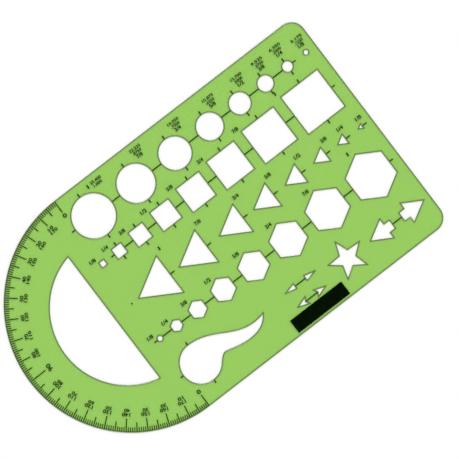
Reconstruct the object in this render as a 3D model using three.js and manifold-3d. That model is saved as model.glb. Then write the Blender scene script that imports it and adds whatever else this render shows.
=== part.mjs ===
// A drawing template: one thin sheet of green plastic with rows of graded cut-outs, a half-round end
// that works as a protractor, and marks printed in dark ink on its upper face. Lengths are in
// millimetres. The underside lies on z = 0, the origin is the protractor's centre, the rows of
// cut-outs run along +X, and the protractor's rim is at the -X end.
import * as THREE from 'three';
import Module from 'manifold-3d';

const wasm = await Module();
wasm.setup();

const inch = 25.4;
const eighth = inch / 8;

// The sheet. Every edge is bevelled towards both faces, so that the sheet's middle stands edgeBevel
// further out than its faces. At the faces each cut-out is faceRelief larger on every side than its
// marked size.
const sheetThickness = 0.76;
const cornerRadius = 8.3;
const edgeBevel = 0.45;
const bevelHeight = 0.25;
const faceRelief = 0.15;
const endMargin = 5.4;

// The rows are laid out down the sheet, from its upper edge to its lower edge.
const topMargin = 7.1;
const circleRowToSquareRow = 24.1;
const squareRowToTriangleRow = 27.3;
const triangleRowToHexagonRow = 24.8;
const lowerBand = 46.4;

// Along each row: where its first cut-out begins, and the webs of sheet left between neighbours.
const circleRowStart = 0;
const circleWebs = [5.8, 6.7, 6.9, 6.8, 6.9, 7.5, 8.2];
const squareRowStart = -0.9;
const squareWeb = 6.43;
const triangleRowStart = 4.9;
const triangleWebs = [6.4, 9.0, 7.5, 8.5, 9.0, 8.5, 8.9];
const hexagonRowStart = -0.65;
const hexagonWeb = 6.87;

// The squares are cut larger than their marked size by this on every side, to make room for a pencil.
const squareAllowance = 0.15;

// The protractor end: the band that carries the scale, and the half-moon window inside it.
const scaleBand = 24.7;
const moonRadius = 43.1;
const moonChordOffset = 12.3;

// The teardrop curve: a round bulb with a tail that swings out to a point. Places are measured from
// the bulb's centre, and the pulls are the lengths of the handles that shape the two flanks.
const bulbX = 10.8;
const bulbFromLowerEdge = 22.1;
const bulbRadius = 12;
const tailTip = new THREE.Vector2(44.2, 0.6);
const tailCrest = new THREE.Vector2(16.4, -3.9);
const upperFlankPull = 18.1;
const upperTipPull = new THREE.Vector2(-19, -4.9);
const lowerTipPull = new THREE.Vector2(-7.3, -12.4);
const crestPull = 1.6;
const bulbPull = 6.9;
const bulbLeaves = THREE.MathUtils.degToRad(-39.4);

// The star
const starX = 110.7;
const starFromLowerEdge = 17.9;
const starRadius = 11.4;
const starWaist = 4.8;

// The pairs of arrow heads. Each pair points outwards along X and is joined by a printed line.
const blockArrowFromEnd = 23.1;
const blockArrowFromLowerEdge = 17.8;
const blockArrowSpan = 37.5;
const blockHeadLength = 11.6;
const blockHeadWidth = 13.2;
const blockShankLength = 3.85;
const blockShankWidth = 5.7;
const slimArrowX = 81.8;
const slimArrowFromLowerEdge = 23.6;
const slimArrowSpan = 20.4;
const slimHeadLength = 6.5;
const slimHeadWidth = 3.3;
const barbedArrowX = 82;
const barbedArrowFromLowerEdge = 13.3;
const barbedArrowSpan = 19.2;
const barbedHeadLength = 6.6;
const barbedHeadWidth = 4.6;
const barbedNotch = 1.4;

// The printed marks. The scale's ticks are measured inwards from its rim line.
const inkThickness = 0.04;
const guideWidth = 0.7;
const guideGap = 0.1;
const tickLength = 2.2;
const triangleTickLength = 2.8;
const degreeStroke = 0.5;
const fiveDegreeStroke = 0.6;
const scaleRimLine = 0.15;
const degreeTick = 2.5;
const fiveDegreeTick = 5.2;
const tenDegreeTick = 7.3;
const quarterTurnTick = 10.4;
const centreDotRadius = 0.5;
const centreDotSides = 16;
const inkBarX = 82.1;
const inkBarFromLowerEdge = 5.9;
const inkBarLength = 36;
const inkBarHeight = 8.4;

// Round outlines are divided so finely that no chord leaves its arc by more than this. A cutter runs
// this far past both faces of the sheet.
const chordError = 0.015;
const flankSteps = 24;
const cutterOverrun = 0.2;

const green = new THREE.MeshStandardMaterial({ color: 0x99cc61, roughness: 0.3, metalness: 0 });
const ink = new THREE.MeshStandardMaterial({ color: 0x16200f, roughness: 0.55, metalness: 0 });

// Points along an arc, its two ends and its middle included
function arcPoints(x, y, radius, from, to) {
  const step = 2 * Math.acos(1 - chordError / radius);
  const count = 2 * Math.ceil(Math.abs(to - from) / step / 2);
  const points = [];
  for (let i = 0; i <= count; i += 1) {
    const angle = from + ((to - from) * i) / count;
    points.push(new THREE.Vector2(x + radius * Math.cos(angle), y + radius * Math.sin(angle)));
  }
  return points;
}

// The corners of a regular polygon round the origin
function polygonPoints(sides, radius, firstAngle) {
  const points = [];
  for (let i = 0; i < sides; i += 1) {
    const angle = firstAngle + (2 * Math.PI * i) / sides;
    points.push(new THREE.Vector2(radius * Math.cos(angle), radius * Math.sin(angle)));
  }
  return points;
}

// Runs of points joined into one closed outline, each shared end kept once
function closedOutline(...runs) {
  const near = chordError / 10;
  const points = [];
  for (const point of runs.flat()) {
    const last = points.at(-1);
    if (!last || last.distanceTo(point) > near) points.push(point);
  }
  if (points[0].distanceTo(points.at(-1)) < near) points.pop();
  return points;
}

function moved(points, x, y) {
  return points.map((point) => new THREE.Vector2(point.x + x, point.y + y));
}

// Each kind of cut-out: how far it reaches before and after its centre along the row, and its outline
const kinds = {
  circle: {
    before: (size) => size / 2,
    after: (size) => size / 2,
    outline: (size) => closedOutline(arcPoints(0, 0, size / 2, 0, 2 * Math.PI)),
  },
  square: {
    before: (size) => size / 2 + squareAllowance,
    after: (size) => size / 2 + squareAllowance,
    outline: (size) => polygonPoints(4, (size / 2 + squareAllowance) * Math.sqrt(2), Math.PI / 4),
  },
  triangle: {
    before: (size) => size / Math.sqrt(3),
    after: (size) => size / Math.sqrt(12),
    outline: (size) => polygonPoints(3, size / Math.sqrt(3), Math.PI),
  },
  hexagon: {
    before: (size) => size / 2,
    after: (size) => size / 2,
    outline: (size) => polygonPoints(6, size / Math.sqrt(3), Math.PI / 6),
  },
};

// The cut-outs of one row, each with the places where it begins and ends on the row's centre line
function layOutRow(kind, y, start, sizes, webs) {
  const holes = [];
  let x = start;
  sizes.forEach((eighths, i) => {
    const size = eighths * eighth;
    const begin = x;
    const centre = begin + kinds[kind].before(size);
    const end = centre + kinds[kind].after(size);
    holes.push({ kind, size, y, begin, centre, end });
    x = end + (webs[i] ?? 0);
  });
  return holes;
}

const growing = [1, 2, 3, 4, 5, 6, 7, 8];
const shrinking = growing.toReversed();
const evenWebs = (web) => growing.slice(1).map(() => web);

// The sheet's half width follows from what is laid out across it, and the rim is a half circle on it.
const largestCircle = inch;
const rowsHeight = circleRowToSquareRow + squareRowToTriangleRow + triangleRowToHexagonRow;
const sheetWidth = topMargin + largestCircle / 2 + rowsHeight + lowerBand;
const rimRadius = sheetWidth / 2;
const lowerEdge = -rimRadius;
const circleRowY = rimRadius - topMargin - largestCircle / 2;
const squareRowY = circleRowY - circleRowToSquareRow;
const triangleRowY = squareRowY - squareRowToTriangleRow;
const hexagonRowY = triangleRowY - triangleRowToHexagonRow;

const circleRow = layOutRow('circle', circleRowY, circleRowStart, shrinking, circleWebs);
const squareRow = layOutRow('square', squareRowY, squareRowStart, growing, evenWebs(squareWeb));
const triangleRow = layOutRow('triangle', triangleRowY, triangleRowStart, shrinking, triangleWebs);
const hexagonRow = layOutRow('hexagon', hexagonRowY, hexagonRowStart, growing, evenWebs(hexagonWeb));
const rows = [circleRow, squareRow, triangleRow, hexagonRow];
const sheetRight = Math.max(...rows.map((row) => row.at(-1).end)) + endMargin;

// The sheet's outline: the half-round rim, two straight sides and a square end with round corners
function sheetOutline() {
  const cornerX = sheetRight - cornerRadius;
  const cornerY = rimRadius - cornerRadius;
  const quarter = Math.PI / 2;
  return closedOutline(
    arcPoints(0, 0, rimRadius, quarter, 3 * quarter),
    arcPoints(cornerX, -cornerY, cornerRadius, -quarter, 0),
    arcPoints(cornerX, cornerY, cornerRadius, 0, quarter),
  );
}

// The half-moon window: an arc closed by a straight side that faces the rows
function moonOutline() {
  const leftmost = -(rimRadius - scaleBand);
  const centreX = leftmost + moonRadius;
  const chordAngle = Math.acos((-moonChordOffset - centreX) / moonRadius);
  return closedOutline(arcPoints(centreX, 0, moonRadius, chordAngle, 2 * Math.PI - chordAngle));
}

// The teardrop, drawn from the bulb's top round the bulb, along the lower flank and back over the top
function teardropOutline() {
  const centre = new THREE.Vector2(bulbX, lowerEdge + bulbFromLowerEdge);
  const at = (offset) => centre.clone().add(offset);
  const along = new THREE.Vector2(1, 0);
  const top = at(new THREE.Vector2(0, bulbRadius));
  const leave = new THREE.Vector2(Math.cos(bulbLeaves), Math.sin(bulbLeaves)).multiplyScalar(bulbRadius);
  const leaveDirection = new THREE.Vector2(-Math.sin(bulbLeaves), Math.cos(bulbLeaves));
  const crest = at(tailCrest);
  const tip = at(tailTip);
  const toCrest = new THREE.CubicBezierCurve(
    at(leave),
    at(leave).addScaledVector(leaveDirection, bulbPull),
    crest.clone().addScaledVector(along, -crestPull),
    crest,
  );
  const toTip = new THREE.CubicBezierCurve(
    crest,
    crest.clone().addScaledVector(along, crestPull),
    tip.clone().add(lowerTipPull),
    tip,
  );
  const toTop = new THREE.CubicBezierCurve(
    tip,
    tip.clone().add(upperTipPull),
    top.clone().addScaledVector(along, upperFlankPull),
    top,
  );
  return closedOutline(
    arcPoints(centre.x, centre.y, bulbRadius, Math.PI / 2, 2 * Math.PI + bulbLeaves),
    toCrest.getPoints(flankSteps),
    toTip.getPoints(flankSteps),
    toTop.getPoints(flankSteps),
  );
}

function starOutline() {
  const points = [];
  for (let i = 0; i < 10; i += 1) {
    const angle = Math.PI / 2 + (Math.PI * i) / 5;
    const radius = i % 2 === 0 ? starRadius : starWaist;
    points.push(new THREE.Vector2(radius * Math.cos(angle), radius * Math.sin(angle)));
  }
  return moved(points, starX, lowerEdge + starFromLowerEdge);
}

// One arrow head that points along +X, drawn with its tip at the origin
function headOutline(length, width, notch) {
  const points = [
    new THREE.Vector2(0, 0),
    new THREE.Vector2(-length, width / 2),
    new THREE.Vector2(-length, -width / 2),
  ];
  if (notch > 0) points.splice(2, 0, new THREE.Vector2(notch - length, 0));
  return points;
}

// The same with a shank behind the head
function blockHeadOutline() {
  const back = -blockHeadLength - blockShankLength;
  return [
    new THREE.Vector2(0, 0),
    new THREE.Vector2(-blockHeadLength, blockHeadWidth / 2),
    new THREE.Vector2(-blockHeadLength, blockShankWidth / 2),
    new THREE.Vector2(back, blockShankWidth / 2),
    new THREE.Vector2(back, -blockShankWidth / 2),
    new THREE.Vector2(-blockHeadLength, -blockShankWidth / 2),
    new THREE.Vector2(-blockHeadLength, -blockHeadWidth / 2),
  ];
}

// The two heads of a double arrow, set tip to tip over the span
function headPair(head, x, y, span) {
  const facingBack = head.map((point) => new THREE.Vector2(-point.x, point.y)).reverse();
  return [moved(head, x + span / 2, y), moved(facingBack, x - span / 2, y)];
}

const blockArrowX = sheetRight - blockArrowFromEnd;
const blockArrowY = lowerEdge + blockArrowFromLowerEdge;
const slimArrowY = lowerEdge + slimArrowFromLowerEdge;
const barbedArrowY = lowerEdge + barbedArrowFromLowerEdge;
const slimHead = headOutline(slimHeadLength, slimHeadWidth, 0);
const barbedHead = headOutline(barbedHeadLength, barbedHeadWidth, barbedNotch);

// The direction out of an outline, square to its side from one point to the next
function sideNormal(from, to) {
  return new THREE.Vector2(to.y - from.y, from.x - to.x).normalize();
}

// The outline with every side moved outwards by the same distance and its corners kept sharp
function offsetOutline(points, distance) {
  return points.map((point, i) => {
    const arriving = sideNormal(points.at(i - 1), point);
    const leaving = sideNormal(point, points[(i + 1) % points.length]);
    const middle = arriving.add(leaving).normalize();
    return point.clone().addScaledVector(middle, distance / middle.dot(leaving));
  });
}

// A solid that runs through the outline's offsets at rising heights and is capped flat at both ends
function loft(outline, levels) {
  const count = outline.length;
  const places = levels.flatMap(({ z, offset }) => (
    offsetOutline(outline, offset).flatMap((point) => [point.x, point.y, z])
  ));
  const triangles = [];
  for (let level = 1; level < levels.length; level += 1) {
    for (let i = 0; i < count; i += 1) {
      const here = (level - 1) * count + i;
      const beside = (level - 1) * count + ((i + 1) % count);
      triangles.push(here, beside, beside + count, here, beside + count, here + count);
    }
  }
  const lidStart = (levels.length - 1) * count;
  for (const [a, b, c] of THREE.ShapeUtils.triangulateShape(outline, [])) {
    triangles.push(c, b, a, lidStart + a, lidStart + b, lidStart + c);
  }
  return new wasm.Manifold(new wasm.Mesh({
    numProp: 3,
    vertProperties: Float32Array.from(places),
    triVerts: Uint32Array.from(triangles),
  }));
}

// The uncut sheet, which stands out furthest between its two bevels
function sheetBlank() {
  return loft(sheetOutline(), [
    { z: 0, offset: -edgeBevel },
    { z: bevelHeight, offset: 0 },
    { z: sheetThickness - bevelHeight, offset: 0 },
    { z: sheetThickness, offset: -edgeBevel },
  ]);
}

// The cutter of one cut-out. It is wide at the faces and past them, and narrow between them, so that
// the wall it leaves is bevelled like the sheet's own edge.
function cutter(outline) {
  const wide = faceRelief;
  const narrow = faceRelief - edgeBevel;
  return loft(outline, [
    { z: -cutterOverrun, offset: wide },
    { z: 0, offset: wide },
    { z: bevelHeight, offset: narrow },
    { z: sheetThickness - bevelHeight, offset: narrow },
    { z: sheetThickness, offset: wide },
    { z: sheetThickness + cutterOverrun, offset: wide },
  ]);
}

function toGeometry(solid) {
  const mesh = solid.getMesh();
  const geometry = new THREE.BufferGeometry();
  geometry.setAttribute('position', new THREE.BufferAttribute(mesh.vertProperties, 3));
  geometry.setIndex(new THREE.BufferAttribute(mesh.triVerts, 1));
  geometry.computeVertexNormals();
  return geometry;
}

// The sheet with all its cut-outs
function templateSheet() {
  const outlines = [
    ...rows.flat().map((hole) => moved(kinds[hole.kind].outline(hole.size), hole.centre, hole.y)),
    moonOutline(),
    teardropOutline(),
    starOutline(),
    ...headPair(blockHeadOutline(), blockArrowX, blockArrowY, blockArrowSpan),
    ...headPair(slimHead, slimArrowX, slimArrowY, slimArrowSpan),
    ...headPair(barbedHead, barbedArrowX, barbedArrowY, barbedArrowSpan),
  ];
  let solid = sheetBlank();
  for (const outline of outlines) {
    solid = solid.subtract(cutter(outline));
  }
  const mesh = new THREE.Mesh(toGeometry(solid), green);
  mesh.name = 'template_sheet';
  return mesh;
}

// The protractor's scale, one comb of ink: a rim line that carries a tick for every degree
function protractorScale() {
  const outer = rimRadius - edgeBevel;
  const inner = outer - scaleRimLine;
  const overrun = fiveDegreeStroke / 2 / outer;
  const points = arcPoints(0, 0, outer, Math.PI / 2 - overrun, (3 * Math.PI) / 2 + overrun);
  for (let degree = 180; degree >= 0; degree -= 1) {
    const half = (degree % 5 === 0 ? fiveDegreeStroke : degreeStroke) / 2;
    let length = degreeTick;
    if (degree % 5 === 0) length = fiveDegreeTick;
    if (degree % 10 === 0) length = tenDegreeTick;
    if (degree === 90) length = quarterTurnTick;
    const angle = Math.PI / 2 + THREE.MathUtils.degToRad(degree);
    const outward = new THREE.Vector2(Math.cos(angle), Math.sin(angle));
    const across = new THREE.Vector2(-outward.y, outward.x).multiplyScalar(half);
    const root = outward.clone().multiplyScalar(inner);
    const tip = outward.clone().multiplyScalar(outer - length);
    if (degree < 180) points.push(root.clone().add(across));
    points.push(tip.clone().add(across), tip.clone().sub(across));
    if (degree > 0) points.push(root.clone().sub(across));
  }
  const shape = new THREE.Shape(points);
  const geometry = new THREE.ExtrudeGeometry(shape, { depth: inkThickness, bevelEnabled: false });
  const mesh = new THREE.Mesh(geometry, ink);
  mesh.name = 'protractor_scale';
  mesh.position.z = sheetThickness;
  return mesh;
}

// A flat strip of ink on the sheet's upper face, from one place along X to another
function inkStrip(name, from, to, y, width) {
  const mesh = new THREE.Mesh(new THREE.BoxGeometry(to - from, width, inkThickness), ink);
  mesh.name = name;
  mesh.position.set((from + to) / 2, y, sheetThickness + inkThickness / 2);
  return mesh;
}

// The guide lines of a row: a tick before the first cut-out, a line across each web, a tick at the end
function rowGuides(name, holes) {
  const clear = faceRelief + guideGap;
  const strips = [];
  const add = (from, to) => {
    strips.push(inkStrip(`${name}_guide_${strips.length + 1}`, from, to, holes[0].y, guideWidth));
  };
  add(holes[0].begin - clear - tickLength, holes[0].begin - clear);
  for (let i = 1; i < holes.length; i += 1) {
    add(holes[i - 1].end + clear, holes[i].begin - clear);
  }
  add(holes.at(-1).end + clear, holes.at(-1).end + clear + tickLength);
  return strips;
}

// Each triangle has one short line that leaves the middle of its upright side
function triangleGuides() {
  return triangleRow.map((hole, i) => {
    const from = hole.end + faceRelief + guideGap;
    return inkStrip(`triangle_guide_${i + 1}`, from, from + triangleTickLength, hole.y, guideWidth);
  });
}

// The line that joins a pair of arrow heads, from the back of one to the back of the other
function arrowLine(name, x, y, span, headLength) {
  const half = span / 2 - headLength - faceRelief - guideGap;
  return inkStrip(name, x - half, x + half, y, guideWidth);
}

function centreDot() {
  const geometry = new THREE.CylinderGeometry(centreDotRadius, centreDotRadius, inkThickness, centreDotSides);
  const mesh = new THREE.Mesh(geometry, ink);
  mesh.name = 'protractor_centre_dot';
  mesh.rotation.x = Math.PI / 2;
  mesh.position.z = sheetThickness + inkThickness / 2;
  return mesh;
}

function inkBar() {
  const half = inkBarLength / 2;
  const y = lowerEdge + inkBarFromLowerEdge;
  return inkStrip('ink_bar', inkBarX - half, inkBarX + half, y, inkBarHeight);
}

const guidedCircles = circleRow.slice(0, -1);
const guidedSquares = squareRow.slice(1);
const blockBack = blockHeadLength + blockShankLength;
const template = new THREE.Group();
template.add(
  templateSheet(),
  protractorScale(),
  centreDot(),
  ...rowGuides('circle', guidedCircles),
  ...rowGuides('square', guidedSquares),
  ...triangleGuides(),
  ...rowGuides('hexagon', hexagonRow),
  arrowLine('block_arrow_line', blockArrowX, blockArrowY, blockArrowSpan, blockBack),
  arrowLine('slim_arrow_line', slimArrowX, slimArrowY, slimArrowSpan, slimHeadLength),
  arrowLine('barbed_arrow_line', barbedArrowX, barbedArrowY, barbedArrowSpan, barbedHeadLength - barbedNotch),
  inkBar(),
);

export default template;
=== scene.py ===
# %% [markdown]
# This lesson dresses a drawing template: one thin sheet of green see-through plastic with rows of
# graded cut-outs, a half-round end that works as a protractor, and marks printed in dark ink.
# The sheet and its main marks come from a CAD model that is loaded first. Everything made here
# is in metres and lies exactly where the CAD model says.

import math

import bmesh
import bpy
import numpy as np
from mathutils import Matrix, Vector
from mathutils.geometry import delaunay_2d_cdt


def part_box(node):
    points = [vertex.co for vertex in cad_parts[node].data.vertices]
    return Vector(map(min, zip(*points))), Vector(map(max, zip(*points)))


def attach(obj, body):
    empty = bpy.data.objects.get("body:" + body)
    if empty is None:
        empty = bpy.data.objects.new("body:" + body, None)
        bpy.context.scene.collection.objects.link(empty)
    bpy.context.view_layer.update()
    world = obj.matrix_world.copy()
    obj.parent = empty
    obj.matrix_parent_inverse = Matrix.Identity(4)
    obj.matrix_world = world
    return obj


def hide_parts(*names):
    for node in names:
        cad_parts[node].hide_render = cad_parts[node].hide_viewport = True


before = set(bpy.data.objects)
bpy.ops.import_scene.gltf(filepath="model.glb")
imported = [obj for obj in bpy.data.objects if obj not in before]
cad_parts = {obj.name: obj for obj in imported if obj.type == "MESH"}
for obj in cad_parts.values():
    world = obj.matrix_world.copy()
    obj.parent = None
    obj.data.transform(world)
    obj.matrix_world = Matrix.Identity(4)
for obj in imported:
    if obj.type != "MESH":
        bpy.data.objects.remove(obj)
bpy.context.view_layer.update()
mm = 0.001
white = (1, 1, 1, 1)
sheet_low, sheet_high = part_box("template_sheet")
sheet_top = sheet_high[2]
ink_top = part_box("protractor_scale")[1][2]
ink_film = ink_top - sheet_top
print(f"{len(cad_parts)} CAD nodes, sheet {sheet_top / mm:.2f} mm, ink {ink_film / mm:.3f} mm thick")

# %% [markdown]
# The photograph looks straight down from far away, so parallel edges stay parallel. A camera at a
# great distance with a very long lens gives that look, and unlike a camera without perspective it
# can still be moved round the object. The rows of cut-outs rise towards the upper right. The sheet
# looks a little too narrow for its height, as if the camera leaned a few degrees to the side.

# %% Camera
picture_pixels = 459
pixels_per_mm_across = 1.7951
pixels_per_mm_up = 1.8103
rows_rise = math.radians(37.42)
picture_middle = Vector((68.07 * mm, -0.52 * mm, sheet_top))
camera_distance = 10

lean = math.acos(pixels_per_mm_across / pixels_per_mm_up)
picture_width = picture_pixels / pixels_per_mm_up * mm
upward = Vector((math.sin(rows_rise), math.cos(rows_rise), 0))
sideways = Vector((math.cos(rows_rise), -math.sin(rows_rise), 0))
to_camera = (Vector((0, 0, 1)) * math.cos(lean) - sideways * math.sin(lean)).normalized()
rightward = upward.cross(to_camera)

camera = bpy.data.objects.new("camera", bpy.data.cameras.new("camera"))
camera.data.lens = camera.data.sensor_width * camera_distance / picture_width
camera.data.clip_end = 3 * camera_distance
turn = Matrix((rightward, upward, to_camera)).transposed().to_4x4()
camera.matrix_world = Matrix.Translation(picture_middle + to_camera * camera_distance) @ turn
bpy.context.scene.collection.objects.link(camera)
bpy.context.scene.camera = camera
bpy.context.scene.view_settings.view_transform = "Standard"
print(f"the camera leans {math.degrees(lean):.1f} degrees and sees {picture_width / mm:.1f} mm")

# %% [markdown]
# Materials are trees of nodes. Two small helpers keep them readable. A Signal stands for one number
# that a node puts out, and arithmetic on it adds Math nodes, so a mask can be written as a formula.
# A Recipe is one material under construction, and its node method adds any other node.

# %% Helpers for materials
class Signal:
    """One number in a material's node tree."""

    def __init__(self, tree, socket):
        self.tree = tree
        self.socket = socket

    def combined(self, operation, first, second):
        node = self.tree.nodes.new("ShaderNodeMath")
        node.operation = operation
        for place, value in zip(node.inputs, (first, second)):
            plug(self.tree, place, value)
        return Signal(self.tree, node.outputs[0])

    def __add__(self, other):
        return self.combined("ADD", self, other)

    def __sub__(self, other):
        return self.combined("SUBTRACT", self, other)

    def __rsub__(self, other):
        return self.combined("SUBTRACT", other, self)

    def __mul__(self, other):
        return self.combined("MULTIPLY", self, other)

    __radd__ = __add__
    __rmul__ = __mul__


def plug(tree, place, value):
    """Links a signal or a socket to an input, or writes a plain value on it."""
    if isinstance(value, Signal):
        value = value.socket
    if isinstance(value, bpy.types.NodeSocket):
        tree.links.new(value, place)
    else:
        place.default_value = value


class Recipe:
    """One node tree, with a method that adds a node."""

    def __init__(self, tree):
        self.tree = tree
        self.tree.nodes.clear()

    def node(self, kind, settings=None, values=None):
        made = self.tree.nodes.new("ShaderNode" + kind)
        for name, setting in (settings or {}).items():
            setattr(made, name, setting)
        for name, value in (values or {}).items():
            plug(self.tree, made.inputs[name], value)
        return made

    def signal(self, kind, settings=None, values=None, output=0):
        return Signal(self.tree, self.node(kind, settings, values).outputs[output])

    def noise(self, scale, detail=2, stretch=(1, 1, 1)):
        """A cloudy pattern from 0 to 1 on the object's own coordinates, scale in waves per metre."""
        place = self.node("TexCoord").outputs["Object"]
        if stretch != (1, 1, 1):
            place = self.node("Mapping", values={"Vector": place, "Scale": stretch}).outputs[0]
        return self.signal("TexNoise", values={"Vector": place, "Scale": scale, "Detail": detail})

    def fade(self, value, start, end):
        """0 up to start, 1 from end on, and a smooth rise between."""
        settings = {"interpolation_type": "SMOOTHSTEP"}
        values = {"Value": value, "From Min": start, "From Max": end}
        return self.signal("MapRange", settings, values)

    def blend_colours(self, share, first, second):
        made = self.node("Mix", {"data_type": "RGBA"})
        plug(self.tree, made.inputs[0], share)
        plug(self.tree, made.inputs[6], (*first, 1) if isinstance(first, tuple) else first)
        plug(self.tree, made.inputs[7], (*second, 1) if isinstance(second, tuple) else second)
        return made.outputs[2]


def new_material(name):
    material = bpy.data.materials.new(name)
    material.use_nodes = True
    return material, Recipe(material.node_tree)


# %% [markdown]
# The room is plain: a white floor, an even white sky and one soft lamp, which is so far away that
# it lights the whole sheet alike. It shines from the upper edge of the picture, so a thin shadow
# falls along the lower rim. The light adds up to a level at which a colour renders about as it is
# written. Rays that come straight from the camera see a slightly brighter floor and a full white
# sky, which gives the white ground of the photograph, while the floor still takes the shadow and
# the tinted light under the sheet.

# %% Room and light
sky_light = 0.65
lamp_light = 0.35
floor_white = 0.9
floor_drop = 0.05 * mm
floor_reach = 6
lamp_height_angle = math.radians(52)
lamp_softness = math.radians(30)


def direct_view(recipe):
    """1 for rays that come straight from the camera, or by way of gloss or glass."""
    rays = recipe.node("LightPath").outputs
    seen = Signal(recipe.tree, rays["Is Camera Ray"]) + Signal(recipe.tree, rays["Is Glossy Ray"])
    seen = seen + Signal(recipe.tree, rays["Is Transmission Ray"])
    return seen.combined("MINIMUM", seen, 1.0)


world = bpy.data.worlds.new("sky")
world.use_nodes = True
bpy.context.scene.world = world
sky = Recipe(world.node_tree)
strength = sky_light + direct_view(sky) * (1 - sky_light)
background = sky.node("Background", values={"Color": white, "Strength": strength})
output = sky.node("OutputWorld")
sky.tree.links.new(background.outputs[0], output.inputs[0])

floor_mesh = bpy.data.meshes.new("floor")
corner_signs = ((-1, -1), (1, -1), (1, 1), (-1, 1))
corners = [(x * floor_reach, y * floor_reach, -floor_drop) for x, y in corner_signs]
floor_mesh.from_pydata(corners, [], [(0, 1, 2, 3)])
floor = bpy.data.objects.new("floor", floor_mesh)
floor_paint, paper = new_material("floor_white")
matt = paper.node("BsdfDiffuse", values={"Color": (floor_white, floor_white, floor_white, 1)})
lift_strength = direct_view(paper) * (1 - floor_white)
lift = paper.node("Emission", values={"Color": white, "Strength": lift_strength})
both = paper.node("AddShader", values={0: matt.outputs[0], 1: lift.outputs[0]})
paper.node("OutputMaterial", values={"Surface": both.outputs[0]})
floor_mesh.materials.append(floor_paint)
bpy.context.scene.collection.objects.link(floor)

lamp_data = bpy.data.lights.new("soft_lamp", "SUN")
lamp_data.angle = lamp_softness
lamp_data.energy = lamp_light * math.pi / math.sin(lamp_height_angle)
lamp = bpy.data.objects.new("soft_lamp", lamp_data)
to_lamp = upward * math.cos(lamp_height_angle) + Vector((0, 0, math.sin(lamp_height_angle)))
lamp.matrix_world = to_lamp.to_track_quat("Z", "Y").to_matrix().to_4x4()
bpy.context.scene.collection.objects.link(lamp)
print(f"the lamp shines with {lamp_data.energy:.2f} W on each square metre")

# %% [markdown]
# The sheet of the real template shows a darker line wherever it is cut, because light that meets a
# slanted wall is sent aside. That line is painted into the plastic as shade near every cut. A
# shader can't know how far a point is from the nearest cut, so the mesh has to tell it. The plan is
# to keep the CAD walls, take off the two flat faces, and fill them again with a finer net in which
# every point knows its distance to the nearest cut. The outlines to fill are the open edges of the
# walls. The widest is the rim, the others the cut-outs.

# %% Outlines of the flat faces
merge_distance = 0.001 * mm


def flat_side(vert):
    """1 on the upper face, -1 on the underside, 0 on the wall between."""
    if vert.co.z > sheet_top - merge_distance:
        return 1
    return -1 if vert.co.z < merge_distance else 0


def on_flat_side(face):
    """True for a face of the upper side or of the underside."""
    sides = {flat_side(vert) for vert in face.verts}
    return len(sides) == 1 and 0 not in sides


def cut_walls():
    """The merged CAD sheet without its two flat faces."""
    walls = bmesh.new()
    walls.from_mesh(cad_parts["template_sheet"].data)
    bmesh.ops.remove_doubles(walls, verts=walls.verts, dist=merge_distance)
    flat = [face for face in walls.faces if on_flat_side(face)]
    bmesh.ops.delete(walls, geom=flat, context="FACES_ONLY")
    return walls


def chained(edges):
    """Edges sorted into closed loops of vertices, always in the same order."""
    near = {}
    for edge in edges:
        for vert in edge.verts:
            near.setdefault(vert, []).append(edge)
    loops = []
    left = dict.fromkeys(edges)
    while left:
        edge = next(iter(left))
        del left[edge]
        start, vert = edge.verts
        loop = [start]
        while vert is not start:
            loop.append(vert)
            edge = next(other for other in near[vert] if other in left)
            del left[edge]
            vert = edge.other_vert(vert)
        loops.append(loop)
    return loops


walls = cut_walls()
open_edges = [edge for edge in walls.edges if edge.is_boundary]
upper_edges = [edge for edge in open_edges if flat_side(edge.verts[0]) == 1]
outlines = [np.array([v.co.to_2d() for v in loop]) / mm for loop in chained(upper_edges)]
outlines.sort(key=lambda loop: np.ptp(loop[:, 0]), reverse=True)
cut_outs = outlines[1:]
print(f"{len(cut_outs)} cut-outs, {sum(map(len, outlines))} points on the outlines")

# %% [markdown]
# Two measures tell what is at a point of a flat face. One is the distance to the nearest edge of
# any outline. The other is whether there is plastic, which holds where a line from the point to the
# far right crosses the outlines an odd number of times.

# %% Two measures of a point
segment_from = np.vstack(outlines)
segment_to = np.vstack([np.roll(loop, -1, axis=0) for loop in outlines])


def distance_to_cuts(points):
    """How far each point is from the nearest outline, in millimetres."""
    along = segment_to - segment_from
    length_squared = (along ** 2).sum(axis=1)
    nearest = np.empty(len(points))
    for i, point in enumerate(points):
        away = point - segment_from
        share = np.clip((away * along).sum(axis=1) / length_squared, 0, 1)
        nearest[i] = np.sqrt(((away - along * share[:, None]) ** 2).sum(axis=1).min())
    return nearest


def on_plastic(points):
    """True for each point that lies on the sheet and in none of its cut-outs."""
    low, high = segment_from[:, 1], segment_to[:, 1]
    found = np.zeros(len(points), bool)
    for i, (x, y) in enumerate(points):
        spans = (low > y) != (high > y)
        start, end = segment_from[spans], segment_to[spans]
        crossing = start[:, 0] + (y - start[:, 1]) * (end[:, 0] - start[:, 0]) / (end[:, 1] - start[:, 1])
        found[i] = np.count_nonzero(crossing > x) % 2 == 1
    return found


print(f"{len(segment_from)} edges bound the plastic")

# %% [markdown]
# The net gets rows of extra points at set distances from every cut. Each edge sends out candidates
# along its length, and each corner sends out a fan of them. Only those stay that lie on the plastic
# and are nearer to no other cut, and of those that almost fall together only one stays.

# %% Rows of extra points
ring_distances = (0.35, 0.7, 1.1)
along_spacing = 1.6
fan_step = math.radians(20)
least_spacing = 0.4
true_distance_share = 0.98


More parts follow.
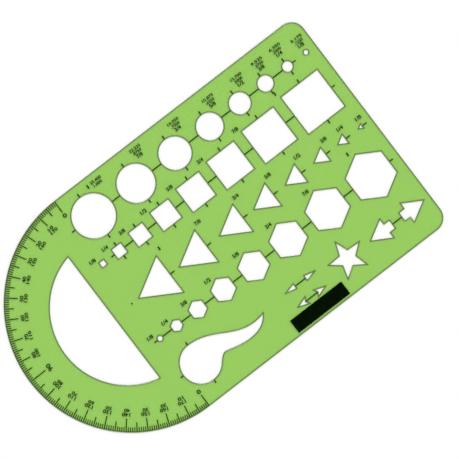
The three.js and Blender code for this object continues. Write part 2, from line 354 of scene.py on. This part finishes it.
def ring_candidates(loop, distance):
    """Points at that distance from a loop, on both of its sides, with fans round its corners."""
    points = []
    following = np.roll(loop, -1, axis=0)
    along = following - loop
    headings = np.arctan2(along[:, 1], along[:, 0])
    for side in (math.pi / 2, -math.pi / 2):
        for i, (start, step) in enumerate(zip(loop, along)):
            normal = headings[i] + side
            count = max(1, round(math.hypot(*step) / along_spacing))
            for k in range(count):
                foot = start + step * (k + 0.5) / count
                points.append(foot + distance * np.array((math.cos(normal), math.sin(normal))))
            turn_angle = math.remainder(headings[i] - headings[i - 1], 2 * math.pi)
            fans = math.ceil(abs(turn_angle) / fan_step)
            for k in range(fans + 1):
                angle = normal - turn_angle * k / max(1, fans)
                points.append(start + distance * np.array((math.cos(angle), math.sin(angle))))
    return np.array(points)


def net_points():
    kept = []
    for distance in ring_distances:
        candidates = np.vstack([ring_candidates(loop, distance) for loop in outlines])
        firsts = np.unique(np.round(candidates / least_spacing), axis=0, return_index=True)[1]
        candidates = candidates[firsts]
        candidates = candidates[distance_to_cuts(candidates) > distance * true_distance_share]
        kept.append(candidates[on_plastic(candidates)])
    return np.vstack(kept)


free_points = net_points()
print(f"{len(free_points)} free points")

# %% [markdown]
# A Delaunay triangulation joins the extra points to the outlines without any further rules. That is
# more forgiving than offsetting the outlines, because sharp tips and narrow webs need no special
# care.

# %% Triangles of the net
same_point_distance = 1e-5


def net_triangles():
    """The net's points and those of its triangles that lie on the plastic."""
    points = np.vstack([segment_from, free_points])
    edges = []
    first = 0
    for loop in outlines:
        edges += [(first + i, first + (i + 1) % len(loop)) for i in range(len(loop))]
        first += len(loop)
    joined = delaunay_2d_cdt([Vector(p) for p in points], edges, [], 0, same_point_distance, False)
    found = np.array([tuple(p) for p in joined[0]])
    triangles = np.array(joined[2])
    return found, triangles[on_plastic(found[triangles].mean(axis=1))]


net, triangles = net_triangles()
print(f"{len(triangles)} triangles on each face")

# %% [markdown]
# The net goes on twice, as the upper face and turned over as the underside, and is then welded to
# the walls, so that the sheet is one closed solid again. Its points keep the distance as an
# attribute that the material reads, and the points of the walls get a negative one, which counts as
# the cut itself. Walls that are facets of one curve are shaded smooth, and real corners stay crisp.

# %% The sheet
crisp_angle = math.radians(25)


def add_face_net(shape, height, upward_face):
    verts = [shape.verts.new((x * mm, y * mm, height)) for x, y in net]
    for triangle in triangles:
        order = triangle if upward_face else triangle[::-1]
        shape.faces.new([verts[i] for i in order])


def linked_piece(name, mesh, material):
    piece = bpy.data.objects.new(name, mesh)
    bpy.context.scene.collection.objects.link(piece)
    mesh.materials.clear()
    mesh.materials.append(material)
    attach(piece, "root")
    return piece


def clear_sheet_mesh():
    add_face_net(walls, sheet_top, True)
    add_face_net(walls, 0.0, False)
    bmesh.ops.remove_doubles(walls, verts=walls.verts, dist=merge_distance)
    mesh = bpy.data.meshes.new("clear_sheet")
    walls.to_mesh(mesh)
    distances = mesh.attributes.new("cut_distance", "FLOAT", "POINT")
    places = np.array([v.co for v in mesh.vertices]) / mm
    flat = (places[:, 2] < merge_distance / mm) | (places[:, 2] > (sheet_top - merge_distance) / mm)
    values = np.minimum(distance_to_cuts(places[:, :2]), ring_distances[-1])
    values[~flat] *= -1
    distances.data.foreach_set("value", values)
    mesh.shade_smooth()
    mesh.set_sharp_from_angle(angle=crisp_angle)
    return mesh


sheet_mesh = clear_sheet_mesh()
loose = sum(not edge.is_manifold for edge in walls.edges)
walls.free()
print(f"the sheet has {len(sheet_mesh.polygons)} faces and {loose} open edges")

# %% [markdown]
# The plastic lets most light through and takes out blue and some red. A Transparent shader tints
# what lies behind without bending it, which suits a sheet thinner than a millimetre. A share of
# plain green stands for the dye's own scatter, and a clear gloss lies over both. Towards a cut the
# green is painted dark and more solid, a painted shade for the dark line that the slanted walls
# make by sending light aside. Faint clouds and hairlines keep the surface from looking computed.
# The gloss grows with the slant of the view. A Fresnel node would be wrong here: the rays inside
# aren't bent, so it would take every slanted one for a total reflection at the underside.

# %% Green plastic
see_through_tint = (0.794, 0.927, 0.574, 1)
dye_green = (0.222, 0.555, 0.04)
# near-black green, painted along every cut as shade
painted_edge_shade_green = (0.02, 0.045, 0.012)
dye_share = 0.15
painted_edge_shade_share = 0.4
painted_shade_band_from, painted_shade_band_to = 0.0, 0.6
cloud_scale, cloud_contrast = 45, 0.08
hairline_scale, hairline_stretch = 900, (0.05, 1, 1)
hairline_strength, hairline_depth = 0.04, 0.02 * mm
body_roughness = 0.35
gloss_roughness, hairline_roughness = 0.12, 0.06
plastic_ior = 1.49
straight_shine = ((plastic_ior - 1) / (plastic_ior + 1)) ** 2
shine_power = 5.0


def green_plastic():
    material, recipe = new_material("green_plastic")
    distance = recipe.signal("Attribute", {"attribute_name": "cut_distance"}, output="Fac")
    # painted shade: the green turns dark and more solid towards every cut, where the walls send light aside
    painted_edge_shade = 1 - recipe.fade(distance, painted_shade_band_from, painted_shade_band_to)
    clouds = recipe.noise(cloud_scale, detail=3)
    hairlines = recipe.noise(hairline_scale, detail=1, stretch=hairline_stretch)
    deeper = tuple(c * (1 - cloud_contrast) for c in dye_green)
    paler = tuple(c * (1 + cloud_contrast) for c in dye_green)
    green = recipe.blend_colours(clouds, deeper, paler)
    colour = recipe.blend_colours(painted_edge_shade, green, painted_edge_shade_green)
    relief = recipe.node("Bump", values={
        "Strength": hairline_strength, "Distance": hairline_depth, "Height": hairlines})
    body = recipe.node("BsdfPrincipled", values={
        "Base Color": colour, "Roughness": body_roughness, "Specular IOR Level": 0.0,
        "Normal": relief.outputs[0]})
    clear = recipe.node("BsdfTransparent", values={"Color": see_through_tint})
    share = dye_share + painted_edge_shade * (painted_edge_shade_share - dye_share)
    inside = recipe.node("MixShader", values={0: share, 1: clear.outputs[0], 2: body.outputs[0]})
    gloss = recipe.node("BsdfGlossy", values={
        "Color": white, "Roughness": gloss_roughness + hairlines * hairline_roughness,
        "Normal": relief.outputs[0]})
    slant = recipe.signal("LayerWeight", values={"Blend": 0.5, "Normal": relief.outputs[0]}, output="Facing")
    shine = straight_shine + slant.combined("POWER", slant, shine_power) * (1 - straight_shine)
    surface = recipe.node("MixShader", values={0: shine, 1: inside.outputs[0], 2: gloss.outputs[0]})
    recipe.node("OutputMaterial", values={"Surface": surface.outputs[0]})
    return material


plastic = green_plastic()
clear_sheet = linked_piece("clear_sheet", sheet_mesh, plastic)
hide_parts("template_sheet")
print(f"the green plastic has {len(plastic.node_tree.nodes)} nodes")

# %% [markdown]
# The ink is a dark film with a slightly matt skin. It is not quite even: the film is thinner in
# places, and a little of the green shows as a lighter, olive black. A broad patch takes more ink
# from the screen than a fine line does, so the bar is nearly black, while the lines and numbers
# are a dark green.

# %% Dark ink
bar_deep, bar_thin = (0.001, 0.004, 0.0005), (0.002, 0.009, 0.0008)
line_deep, line_thin = (0.009, 0.055, 0.0004), (0.014, 0.08, 0.0008)
density_scale = 700
thin_from, thin_to = 0.45, 0.75
film_relief_strength, film_relief_depth = 0.1, 0.01 * mm
film_roughness, film_roughness_spread = 0.45, 0.2
film_shine = 0.01


def dark_ink(name, deep, thin):
    material, recipe = new_material(name)
    density = recipe.noise(density_scale, detail=4)
    colour = recipe.blend_colours(recipe.fade(density, thin_from, thin_to), deep, thin)
    relief = recipe.node("Bump", values={
        "Strength": film_relief_strength, "Distance": film_relief_depth, "Height": density})
    skin = recipe.node("BsdfPrincipled", values={
        "Base Color": colour, "Roughness": film_roughness + density * film_roughness_spread,
        "Specular IOR Level": film_shine, "Normal": relief.outputs[0]})
    recipe.node("OutputMaterial", values={"Surface": skin.outputs[0]})
    return material


bar_ink = dark_ink("bar_ink", bar_deep, bar_thin)
line_ink = dark_ink("line_ink", line_deep, line_thin)
for name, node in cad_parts.items():
    if name != "template_sheet":
        for slot in node.material_slots:
            slot.material = bar_ink if name == "ink_bar" else line_ink
print(f"ink is on {len(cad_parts) - 1} CAD nodes")

# %% [markdown]
# The strokes and numbers stand beside the cut-outs, so their places are worked out from the
# outlines. These are sorted into their rows first: a row is what lies on the line of its guides,
# and the teardrop is the longest cut-out below the lowest row.

# %% The rows of cut-outs
row_tolerance = 0.5
rows_start = -3
row_gap = 5


class CutOut:
    """The box round one cut-out, in millimetres."""

    def __init__(self, outline):
        self.left, self.bottom = outline.min(axis=0)
        self.right, self.top = outline.max(axis=0)
        self.x = (self.left + self.right) / 2
        self.y = (self.bottom + self.top) / 2


def row_near(guide):
    """The cut-outs whose middle lies on the line of a printed guide, from left to right."""
    low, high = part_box(guide)
    line = (low[1] + high[1]) / 2 / mm
    found = [cut for cut in map(CutOut, cut_outs)
             if abs(cut.y - line) < row_tolerance and cut.left > rows_start]
    return sorted(found, key=lambda cut: cut.x)


circles = row_near("circle_guide_1")
squares = row_near("square_guide_1")
triangles_row = row_near("triangle_guide_1")
hexagons = row_near("hexagon_guide_1")
low_cuts = [cut for cut in map(CutOut, cut_outs) if cut.top < hexagons[0].bottom - row_gap]
teardrop = max(low_cuts, key=lambda cut: cut.right - cut.left)
print([len(row) for row in (circles, squares, triangles_row, hexagons)], "cut-outs in the rows")

# %% [markdown]
# The short strokes above and below each circle and square repeat one shape, so Geometry Nodes make
# them. The tree is given bare points that know how far to turn, sets a bar of ink on each, and
# turns the copies into real mesh.

# %% A node tree for strokes
def stroke_tree():
    """Geometry Nodes that set a bar of ink on every point that they are given."""
    tree = bpy.data.node_groups.new("ink_strokes", "GeometryNodeTree")
    inputs = {"Points": "NodeSocketGeometry", "Length": "NodeSocketFloat", "Width": "NodeSocketFloat",
              "Film": "NodeSocketFloat", "Ink": "NodeSocketMaterial"}
    for name, kind in inputs.items():
        tree.interface.new_socket(name, in_out="INPUT", socket_type=kind)
    tree.interface.new_socket("Strokes", in_out="OUTPUT", socket_type="NodeSocketGeometry")
    given = tree.nodes.new("NodeGroupInput").outputs
    size = tree.nodes.new("ShaderNodeCombineXYZ")
    bar = tree.nodes.new("GeometryNodeMeshCube")
    turn_of_point = tree.nodes.new("GeometryNodeInputNamedAttribute")
    turn_of_point.data_type = "FLOAT"
    turn_of_point.inputs["Name"].default_value = "turn"
    rotation = tree.nodes.new("ShaderNodeCombineXYZ")
    place = tree.nodes.new("GeometryNodeInstanceOnPoints")
    realize = tree.nodes.new("GeometryNodeRealizeInstances")
    paint = tree.nodes.new("GeometryNodeSetMaterial")
    result = tree.nodes.new("NodeGroupOutput")
    for source, target in (
        (given["Length"], size.inputs["X"]),
        (given["Width"], size.inputs["Y"]),
        (given["Film"], size.inputs["Z"]),
        (size.outputs[0], bar.inputs["Size"]),
        (turn_of_point.outputs["Attribute"], rotation.inputs["Z"]),
        (given["Points"], place.inputs["Points"]),
        (bar.outputs["Mesh"], place.inputs["Instance"]),
        (rotation.outputs[0], place.inputs["Rotation"]),
        (place.outputs["Instances"], realize.inputs["Geometry"]),
        (realize.outputs["Geometry"], paint.inputs["Geometry"]),
        (given["Ink"], paint.inputs["Material"]),
        (paint.outputs["Geometry"], result.inputs["Strokes"]),
    ):
        tree.links.new(source, target)
    return tree


strokes = stroke_tree()
print(f"the tree for strokes has {len(strokes.nodes)} nodes")

# %% [markdown]
# The tree works on a passing object that holds the points. Its result is taken as a plain mesh, so
# nothing live is left. The strokes of the squares stand a little to the right, as the print does on
# the real sheet, and the teardrop's round bulb has one more at its left.

# %% Strokes of ink
stroke_length = 2.2
stroke_width = 0.76
stroke_gap = 0.1
bulb_stroke_length = 1.8
square_print_shift = 0.3


def printed_strokes(name, places, length):
    """Bars of ink at (x, y, turn) places in millimetres and radians."""
    mesh = bpy.data.meshes.new(name + "_points")
    height = (sheet_top + ink_top) / 2
    mesh.from_pydata([(x * mm, y * mm, height) for x, y, _ in places], [], [])
    mesh.attributes.new("turn", "FLOAT", "POINT").data.foreach_set("value", [t for _, _, t in places])
    holder = bpy.data.objects.new(name + "_points", mesh)
    bpy.context.scene.collection.objects.link(holder)
    modifier = holder.modifiers.new("strokes", "NODES")
    modifier.node_group = strokes
    sizes = {"Length": length * mm, "Width": stroke_width * mm, "Film": ink_film, "Ink": line_ink}
    for item in strokes.interface.items_tree:
        if item.in_out == "INPUT" and item.name in sizes:
            modifier[item.identifier] = sizes[item.name]
    holder.update_tag()
    evaluated = holder.evaluated_get(bpy.context.evaluated_depsgraph_get())
    made = bpy.data.meshes.new_from_object(evaluated)
    made.name = name
    bpy.data.objects.remove(holder)
    turn_left = made.attributes.get("turn")
    if turn_left:
        made.attributes.remove(turn_left)
    print(f"{name}: {len(places)} strokes")
    return linked_piece(name, made, line_ink)


def above_and_below(cut, length, print_shift=0):
    """Two upright strokes on a cut-out's middle, or a little to its right where the print is off."""
    reach_out = stroke_gap + length / 2
    x = cut.x + print_shift
    return [(x, cut.top + reach_out, math.pi / 2), (x, cut.bottom - reach_out, math.pi / 2)]


circle_places = [place for cut in circles[:-1] for place in above_and_below(cut, stroke_length)]
square_places = [place for cut in squares[1:]
                 for place in above_and_below(cut, stroke_length, square_print_shift)]
printed_strokes("circle_strokes", circle_places, stroke_length)
printed_strokes("square_strokes", square_places, stroke_length)
bulb_radius = (teardrop.top - teardrop.bottom) / 2
bulb_x = teardrop.left + bulb_radius
bulb_reach = stroke_gap + bulb_stroke_length / 2
bulb_places = [(bulb_x, teardrop.top + bulb_reach, math.pi / 2),
               (bulb_x, teardrop.bottom - bulb_reach, math.pi / 2),
               (teardrop.left - bulb_reach, teardrop.y, 0)]
printed_strokes("teardrop_strokes", bulb_places, bulb_stroke_length)

# %% [markdown]
# Numbers are text. A text object would follow the font's own spacing, so each word is turned into a
# mesh by itself and fitted into the width and height that it has on the real sheet, then turned and
# set down. Its depth is fitted to the film of ink too, so any depth will do at first. All words of
# one row are joined in one piece, because one screen prints them together.

# %% Numbers as thin meshes
digit_boldness = 0.032
first_depth = 0.5
curve_steps = 3


def word_mesh(word):
    curve = bpy.data.curves.new("word", "FONT")
    curve.body = word
    curve.extrude = first_depth
    curve.offset = digit_boldness
    curve.resolution_u = curve_steps
    holder = bpy.data.objects.new("word", curve)
    mesh = bpy.data.meshes.new_from_object(holder)
    bpy.data.objects.remove(holder)
    bpy.data.curves.remove(curve)
    return mesh


def printed_words(name, words):
    """One piece of ink from (word, x, y, width, height, turn), in millimetres and radians."""
    joined = bmesh.new()
    for word, x, y, width, height, turn_angle in words:
        mesh = word_mesh(word)
        corners_of = np.array([v.co for v in mesh.vertices])
        low, high = corners_of.min(axis=0), corners_of.max(axis=0)
        span = high - low
        to_size = Matrix.Diagonal((width * mm / span[0], height * mm / span[1], ink_film / span[2], 1))
        set_down = Matrix.Translation((x * mm, y * mm, (sheet_top + ink_top) / 2))
        mesh.transform(set_down @ Matrix.Rotation(turn_angle, 4, "Z") @ to_size
                       @ Matrix.Translation(-Vector((low + high) / 2)))
        joined.from_mesh(mesh)
        bpy.data.meshes.remove(mesh)
    bmesh.ops.remove_doubles(joined, verts=joined.verts, dist=merge_distance)
    bmesh.ops.recalc_face_normals(joined, faces=joined.faces)
    made = bpy.data.meshes.new(name)
    joined.to_mesh(made)
    joined.free()
    print(f"{name}: {len(words)} words, {len(made.polygons)} faces")
    return linked_piece(name, made, line_ink)


# %% [markdown]
# The protractor has two rows of numbers, one for each way of reading it, with 90 between them at
# the middle and 0 at both ends. All numbers stand with their heads towards the rim. The narrow 1 at
# the front of a number of three digits leaves its ink a little to the right of its tick.

# %% Protractor numbers
rim_radius = (sheet_high[1] - sheet_low[1]) / 2 / mm
outer_row = 9.9
inner_row = 12.2
quarter_row = 13.5
two_digit_width, three_digit_width = 3.4, 4.7
three_digit_shift = 0.4
outer_height, inner_height = 2.2, 2.0
quarter_width, quarter_height = 4.3, 2.8
zero_width, zero_height = 2.3, 2.5


def round_word(word, degree, inwards, width, height):
    """A word at a place on the scale, 0 degrees at the upper end, head towards the rim."""
    radius = rim_radius - inwards
    angle = math.pi / 2 + math.radians(degree)
    if len(word) == 3:
        angle -= three_digit_shift / radius
    return (word, radius * math.cos(angle), radius * math.sin(angle), width, height, angle - math.pi / 2)


def digits_width(word):
    return three_digit_width if len(word) == 3 else two_digit_width


scale_words = []
for degree in range(10, 180, 10):
    if degree == 90:
        scale_words.append(round_word("90", degree, quarter_row, quarter_width, quarter_height))
        continue
    upper, lower = str(degree), str(180 - degree)
    scale_words.append(round_word(upper, degree, outer_row, digits_width(upper), outer_height))
    scale_words.append(round_word(lower, degree, inner_row, digits_width(lower), inner_height))
for degree in (0, 180):
    scale_words.append(round_word("0", degree, outer_row, zero_width, zero_height))
printed_words("protractor_numbers", scale_words)

# %% [markdown]
# Each square, triangle and hexagon has its size in inches at its upper left or right, as a
# fraction. At the two smallest triangles it stands nearer and higher than at the others.

# %% Sizes of the squares, triangles and hexagons
sizes_in_words = ["1/8", "1/4", "3/8", "1/2", "5/8", "3/4", "7/8", "1"]
fraction_width = 3.8
fraction_height = 2.3
single_width = 0.9
single_shift = 0.8
square_word_left, square_word_up = 2.15, 2.5
triangle_word_shift = (3.6, 2.1)
small_triangle_word_shift = (0.7, 3.1)
small_triangle_top = 4
hexagon_word_left, hexagon_word_up = 4.3, 1.7


def size_word(word, x, y):
    return (word, x, y, single_width if word == "1" else fraction_width, fraction_height, 0)


def upper_left_word(word, x, y):
    """A size at a cut-out's upper left, where the lone 1 stands a little further right and up."""
    shift = single_shift if word == "1" else 0
    return size_word(word, x + shift, y + shift)


square_words = [upper_left_word(word, cut.left - square_word_left, cut.top + square_word_up)
                for word, cut in zip(sizes_in_words, squares)]
printed_words("square_sizes", square_words)
triangle_words = []
for word, cut in zip(reversed(sizes_in_words), triangles_row):
    small = cut.top < small_triangle_top
    beside, above = small_triangle_word_shift if small else triangle_word_shift
    triangle_words.append(size_word(word, cut.right + beside, cut.top + above))
printed_words("triangle_sizes", triangle_words)
hexagon_words = [upper_left_word(word, cut.x - hexagon_word_left, cut.top + hexagon_word_up)
                 for word, cut in zip(sizes_in_words, hexagons)]
printed_words("hexagon_sizes", hexagon_words)

# %% [markdown]
# Each circle has three lines above it: its diameter in millimetres, in decimals of an inch and as a
# fraction. The numbers are worked out from the size, and the lines step down to the right as the
# circles get smaller.

# %% Sizes of the circles
inch = 25.4
line_pitch = 2.25
fraction_drop = 0.1
line_height = 1.75
metric_width = 7.4
decimal_width = 5.6
block_places = [(25.4, 66.6), (53.3, 67.2), (79.2, 66.0), (102.5, 64.7), (122.1, 64.4), (136.5, 64.3),
                (149.1, 64.4), (161.7, 60.9)]
largest_fraction_place = (19.8, 66.0)

circle_words = []
for eighths, word, (x, y) in zip(range(8, 0, -1), reversed(sizes_in_words), block_places):
    size = eighths / 8
    circle_words.append((f"{size * inch:.3f}", x, y, metric_width, line_height, 0))
    decimal = f"{size:.3f}" if size == 1 else f"{size:.4f}".lstrip("0")
    circle_words.append((decimal, x, y - line_pitch, decimal_width, line_height, 0))
    place = largest_fraction_place if size == 1 else (x, y - 2 * line_pitch - fraction_drop)
    circle_words.append(size_word(word, *place))
printed_words("circle_sizes", circle_words)
